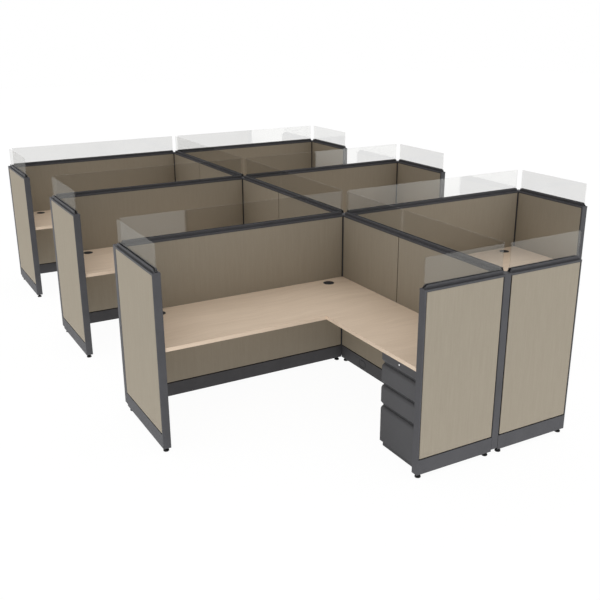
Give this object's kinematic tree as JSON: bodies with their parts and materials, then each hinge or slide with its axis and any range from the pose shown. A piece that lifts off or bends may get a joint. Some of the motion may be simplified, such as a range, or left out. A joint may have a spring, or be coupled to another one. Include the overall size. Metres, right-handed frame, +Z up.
{
  "type": "cubicle workstation",
  "caption": "Connected office cubicles on a shared spine wall: fabric panels with glass toppers, L-shaped worksurfaces and drawer pedestals with locks.",
  "frame": {"origin": "on the floor under the middle of the footprint", "axes": "+Z up; Y along the spine wall, with the two end panels at -Y; X along the back walls, left column at -X and right column at +X"},
  "size_m": [3.832, 5.684, 1.458],
  "materials": {
    "panel_fabric": "woven panel fabric",
    "trim_paint": "satin charcoal paint",
    "pedestal_paint": "fine textured charcoal paint",
    "frame_steel": "dark paint",
    "maple_laminate": "matt pale maple laminate",
    "edge_band": "satin edge band",
    "black_plastic": "moulded black",
    "black_rubber": "matt",
    "clear_glass": "polished",
    "slide_steel": "zinc plated",
    "lock_steel": "polished"
  },
  "bodies": {
    "pod": {"junction_posts": "trim_paint", "back_wall_frames": "frame_steel", "wing_frames": "frame_steel", "spine_frames": "frame_steel", "end_panel_frames": "frame_steel", "back_wall_tiles": "panel_fabric", "wing_tiles": "panel_fabric", "spine_tiles": "panel_fabric", "end_panel_tiles": "panel_fabric", "top_caps": "trim_paint", "glass_gaskets": "black_rubber", "back_wall_glass": "clear_glass", "wing_glass": "clear_glass", "spine_glass": "clear_glass", "end_panel_glass": "clear_glass", "end_trims": "trim_paint", "raceway_covers": "trim_paint", "outlet_plates": "black_plastic", "levelling_glides": "black_plastic", "edge_bands": "edge_band", "grommets": "black_plastic", "cantilever_brackets": "frame_steel", "case_slides": "slide_steel", "front_left_worksurface": "maple_laminate", "front_left_pedestal_case": "pedestal_paint", "front_right_worksurface": "maple_laminate", "front_right_pedestal_case": "pedestal_paint", "middle_left_worksurface": "maple_laminate", "middle_left_pedestal_case": "pedestal_paint", "middle_right_worksurface": "maple_laminate", "middle_right_pedestal_case": "pedestal_paint", "rear_left_worksurface": "maple_laminate", "rear_left_pedestal_case": "pedestal_paint", "rear_right_worksurface": "maple_laminate", "rear_right_pedestal_case": "pedestal_paint"},
    "front_left_upper_drawer": {"front_left_upper_drawer": "pedestal_paint"},
    "front_left_middle_drawer": {"front_left_middle_drawer": "pedestal_paint"},
    "front_left_file_drawer": {"front_left_file_drawer": "pedestal_paint"},
    "front_left_lock_plug": {"front_left_lock_plug": "lock_steel"},
    "front_right_upper_drawer": {"front_right_upper_drawer": "pedestal_paint"},
    "front_right_middle_drawer": {"front_right_middle_drawer": "pedestal_paint"},
    "front_right_file_drawer": {"front_right_file_drawer": "pedestal_paint"},
    "front_right_lock_plug": {"front_right_lock_plug": "lock_steel"},
    "middle_left_upper_drawer": {"middle_left_upper_drawer": "pedestal_paint"},
    "middle_left_middle_drawer": {"middle_left_middle_drawer": "pedestal_paint"},
    "middle_left_file_drawer": {"middle_left_file_drawer": "pedestal_paint"},
    "middle_left_lock_plug": {"middle_left_lock_plug": "lock_steel"},
    "middle_right_upper_drawer": {"middle_right_upper_drawer": "pedestal_paint"},
    "middle_right_middle_drawer": {"middle_right_middle_drawer": "pedestal_paint"},
    "middle_right_file_drawer": {"middle_right_file_drawer": "pedestal_paint"},
    "middle_right_lock_plug": {"middle_right_lock_plug": "lock_steel"},
    "rear_left_upper_drawer": {"rear_left_upper_drawer": "pedestal_paint"},
    "rear_left_middle_drawer": {"rear_left_middle_drawer": "pedestal_paint"},
    "rear_left_file_drawer": {"rear_left_file_drawer": "pedestal_paint"},
    "rear_left_lock_plug": {"rear_left_lock_plug": "lock_steel"},
    "rear_right_upper_drawer": {"rear_right_upper_drawer": "pedestal_paint"},
    "rear_right_middle_drawer": {"rear_right_middle_drawer": "pedestal_paint"},
    "rear_right_file_drawer": {"rear_right_file_drawer": "pedestal_paint"},
    "rear_right_lock_plug": {"rear_right_lock_plug": "lock_steel"}
  },
  "joints": [
    {"name": "front_left_upper_drawer_slide", "type": "slide", "parent": "pod", "child": "front_left_upper_drawer", "axis": [-1, 0, 0], "range_m": [0, 0.38]},
    {"name": "front_left_middle_drawer_slide", "type": "slide", "parent": "pod", "child": "front_left_middle_drawer", "axis": [-1, 0, 0], "range_m": [0, 0.38]},
    {"name": "front_left_file_drawer_slide", "type": "slide", "parent": "pod", "child": "front_left_file_drawer", "axis": [-1, 0, 0], "range_m": [0, 0.42]},
    {"name": "front_left_lock_turn", "type": "hinge", "parent": "pod", "child": "front_left_lock_plug", "pos_m": [-0.606, -2.5675, 0.682], "axis": [1, 0, 0], "range_deg": [0, 90]},
    {"name": "front_right_upper_drawer_slide", "type": "slide", "parent": "pod", "child": "front_right_upper_drawer", "axis": [1, 0, 0], "range_m": [0, 0.38]},
    {"name": "front_right_middle_drawer_slide", "type": "slide", "parent": "pod", "child": "front_right_middle_drawer", "axis": [1, 0, 0], "range_m": [0, 0.38]},
    {"name": "front_right_file_drawer_slide", "type": "slide", "parent": "pod", "child": "front_right_file_drawer", "axis": [1, 0, 0], "range_m": [0, 0.42]},
    {"name": "front_right_lock_turn", "type": "hinge", "parent": "pod", "child": "front_right_lock_plug", "pos_m": [0.606, -2.5675, 0.682], "axis": [-1, 0, 0], "range_deg": [0, 90]},
    {"name": "middle_left_upper_drawer_slide", "type": "slide", "parent": "pod", "child": "middle_left_upper_drawer", "axis": [-1, 0, 0], "range_m": [0, 0.38]},
    {"name": "middle_left_middle_drawer_slide", "type": "slide", "parent": "pod", "child": "middle_left_middle_drawer", "axis": [-1, 0, 0], "range_m": [0, 0.38]},
    {"name": "middle_left_file_drawer_slide", "type": "slide", "parent": "pod", "child": "middle_left_file_drawer", "axis": [-1, 0, 0], "range_m": [0, 0.42]},
    {"name": "middle_left_lock_turn", "type": "hinge", "parent": "pod", "child": "middle_left_lock_plug", "pos_m": [-0.606, -0.6915, 0.682], "axis": [1, 0, 0], "range_deg": [0, 90]},
    {"name": "middle_right_upper_drawer_slide", "type": "slide", "parent": "pod", "child": "middle_right_upper_drawer", "axis": [1, 0, 0], "range_m": [0, 0.38]},
    {"name": "middle_right_middle_drawer_slide", "type": "slide", "parent": "pod", "child": "middle_right_middle_drawer", "axis": [1, 0, 0], "range_m": [0, 0.38]},
    {"name": "middle_right_file_drawer_slide", "type": "slide", "parent": "pod", "child": "middle_right_file_drawer", "axis": [1, 0, 0], "range_m": [0, 0.42]},
    {"name": "middle_right_lock_turn", "type": "hinge", "parent": "pod", "child": "middle_right_lock_plug", "pos_m": [0.606, -0.6915, 0.682], "axis": [-1, 0, 0], "range_deg": [0, 90]},
    {"name": "rear_left_upper_drawer_slide", "type": "slide", "parent": "pod", "child": "rear_left_upper_drawer", "axis": [-1, 0, 0], "range_m": [0, 0.38]},
    {"name": "rear_left_middle_drawer_slide", "type": "slide", "parent": "pod", "child": "rear_left_middle_drawer", "axis": [-1, 0, 0], "range_m": [0, 0.38]},
    {"name": "rear_left_file_drawer_slide", "type": "slide", "parent": "pod", "child": "rear_left_file_drawer", "axis": [-1, 0, 0], "range_m": [0, 0.42]},
    {"name": "rear_left_lock_turn", "type": "hinge", "parent": "pod", "child": "rear_left_lock_plug", "pos_m": [-0.606, 1.1845, 0.682], "axis": [1, 0, 0], "range_deg": [0, 90]},
    {"name": "rear_right_upper_drawer_slide", "type": "slide", "parent": "pod", "child": "rear_right_upper_drawer", "axis": [1, 0, 0], "range_m": [0, 0.38]},
    {"name": "rear_right_middle_drawer_slide", "type": "slide", "parent": "pod", "child": "rear_right_middle_drawer", "axis": [1, 0, 0], "range_m": [0, 0.38]},
    {"name": "rear_right_file_drawer_slide", "type": "slide", "parent": "pod", "child": "rear_right_file_drawer", "axis": [1, 0, 0], "range_m": [0, 0.42]},
    {"name": "rear_right_lock_turn", "type": "hinge", "parent": "pod", "child": "rear_right_lock_plug", "pos_m": [0.606, 1.1845, 0.682], "axis": [-1, 0, 0], "range_deg": [0, 90]}
  ]
}
